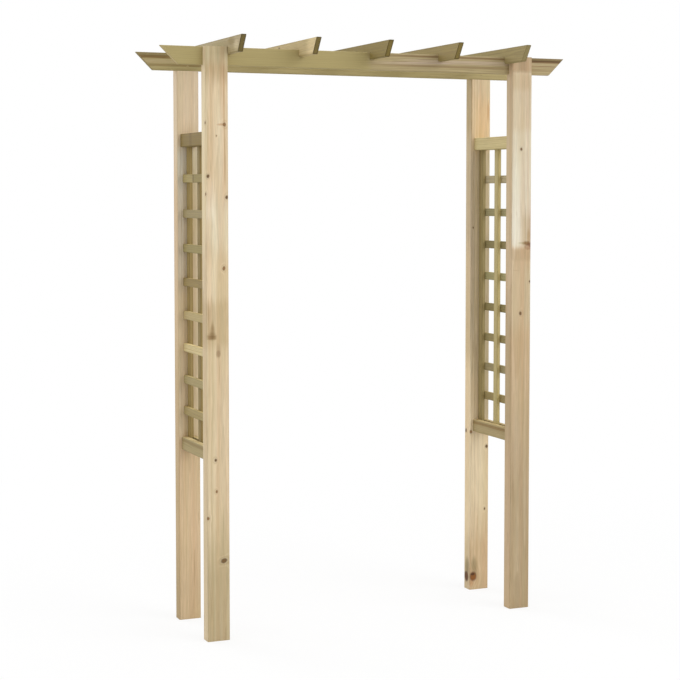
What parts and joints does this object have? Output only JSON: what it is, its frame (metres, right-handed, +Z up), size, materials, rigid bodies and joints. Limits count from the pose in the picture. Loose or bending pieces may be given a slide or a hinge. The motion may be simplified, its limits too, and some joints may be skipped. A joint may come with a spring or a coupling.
{
  "type": "garden arch",
  "caption": "Free-standing timber garden arch: paired posts carry overhanging beams and notched rafters, with a trellis panel of crossed slats between the posts on each side.",
  "frame": {"origin": "ground level, at the middle between the four posts", "axes": "+X along the beams to the right as seen from the front, +Y through the arch to the back, +Z up"},
  "size_m": [1.5, 0.621, 2],
  "materials": {
    "post_timber": "planed, matt",
    "beam_timber": "planed, matt, green tint of treatment",
    "rafter_timber": "planed, matt, green tint of treatment",
    "trellis_timber": "planed, matt, green tint of treatment",
    "screw_steel": "yellow zinc plated",
    "pin_steel": "galvanised"
  },
  "bodies": {
    "root": {"beam_back": "beam_timber", "beam_front": "beam_timber", "beam_screws": "screw_steel", "left_bottom_rail": "trellis_timber", "left_cross_slat_1": "trellis_timber", "left_cross_slat_2": "trellis_timber", "left_cross_slat_3": "trellis_timber", "left_cross_slat_4": "trellis_timber", "left_cross_slat_5": "trellis_timber", "left_cross_slat_6": "trellis_timber", "left_cross_slat_7": "trellis_timber", "left_cross_slat_8": "trellis_timber", "left_slat_brads": "pin_steel", "left_top_rail": "trellis_timber", "left_upright_back": "trellis_timber", "left_upright_front": "trellis_timber", "left_upright_middle": "trellis_timber", "post_back_left": "post_timber", "post_back_right": "post_timber", "post_front_left": "post_timber", "post_front_right": "post_timber", "rafter_1": "rafter_timber", "rafter_2": "rafter_timber", "rafter_3": "rafter_timber", "rafter_4": "rafter_timber", "rafter_5": "rafter_timber", "rafter_nails": "pin_steel", "rail_nails": "pin_steel", "right_bottom_rail": "trellis_timber", "right_cross_slat_1": "trellis_timber", "right_cross_slat_2": "trellis_timber", "right_cross_slat_3": "trellis_timber", "right_cross_slat_4": "trellis_timber", "right_cross_slat_5": "trellis_timber", "right_cross_slat_6": "trellis_timber", "right_cross_slat_7": "trellis_timber", "right_cross_slat_8": "trellis_timber", "right_slat_brads": "pin_steel", "right_top_rail": "trellis_timber", "right_upright_back": "trellis_timber", "right_upright_front": "trellis_timber", "right_upright_middle": "trellis_timber"}
  },
  "joints": []
}
